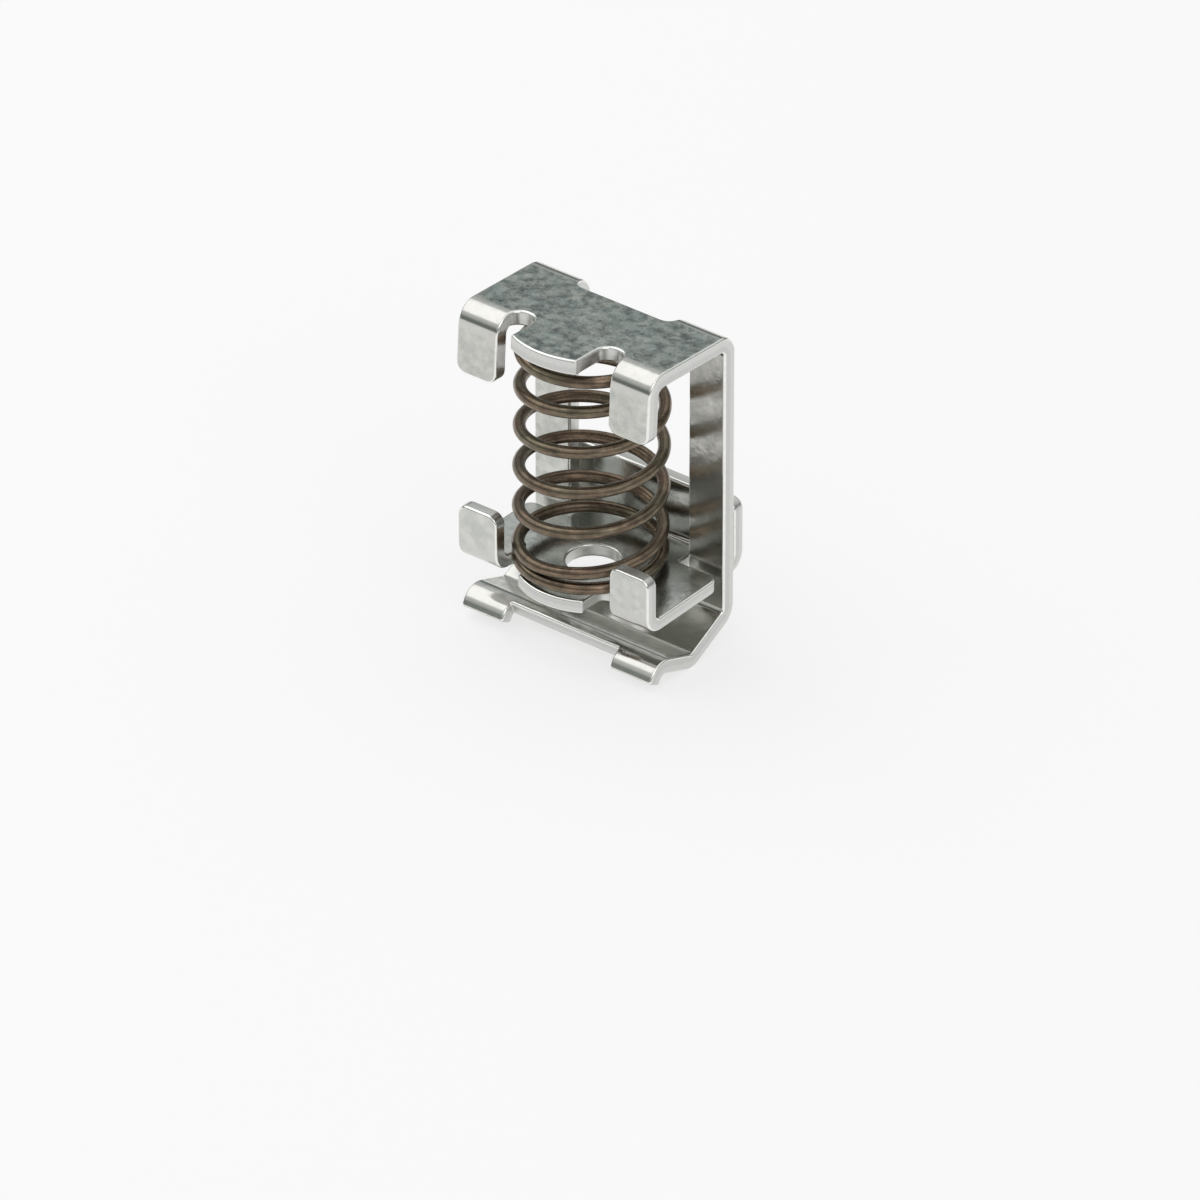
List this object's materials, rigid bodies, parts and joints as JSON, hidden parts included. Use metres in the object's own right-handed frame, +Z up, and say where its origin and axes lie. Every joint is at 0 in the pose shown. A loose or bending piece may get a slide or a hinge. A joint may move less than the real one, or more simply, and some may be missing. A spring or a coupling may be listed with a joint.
{
  "type": "rail spring clip",
  "caption": "Spring-loaded clip for a flat rail: a bent sheet yoke hooks under the rail, and a coil spring presses a sliding plate down onto it.",
  "frame": {"origin": "where the spring's axis meets the rail's upper face, under the middle of the pressure plate", "axes": "+Z up along the spring's axis, +Y along the rail toward the legs, +X across the clip's width"},
  "size_m": [0.0186, 0.0146, 0.0283],
  "materials": {
    "yoke_zinc": "satin",
    "plate_zinc": "satin",
    "spring_wire": "semi_gloss"
  },
  "bodies": {
    "yoke": {"yoke": "yoke_zinc", "coil_spring": "spring_wire"},
    "plate": {"pressure_plate": "plate_zinc"}
  },
  "joints": [
    {"name": "plate_slide", "type": "slide", "parent": "yoke", "child": "plate", "axis": [0, 0, 1], "range_m": [-0.0021, 0.0115], "stiffness_N_per_m": 1200, "deforming": ["coil_spring"]}
  ]
}
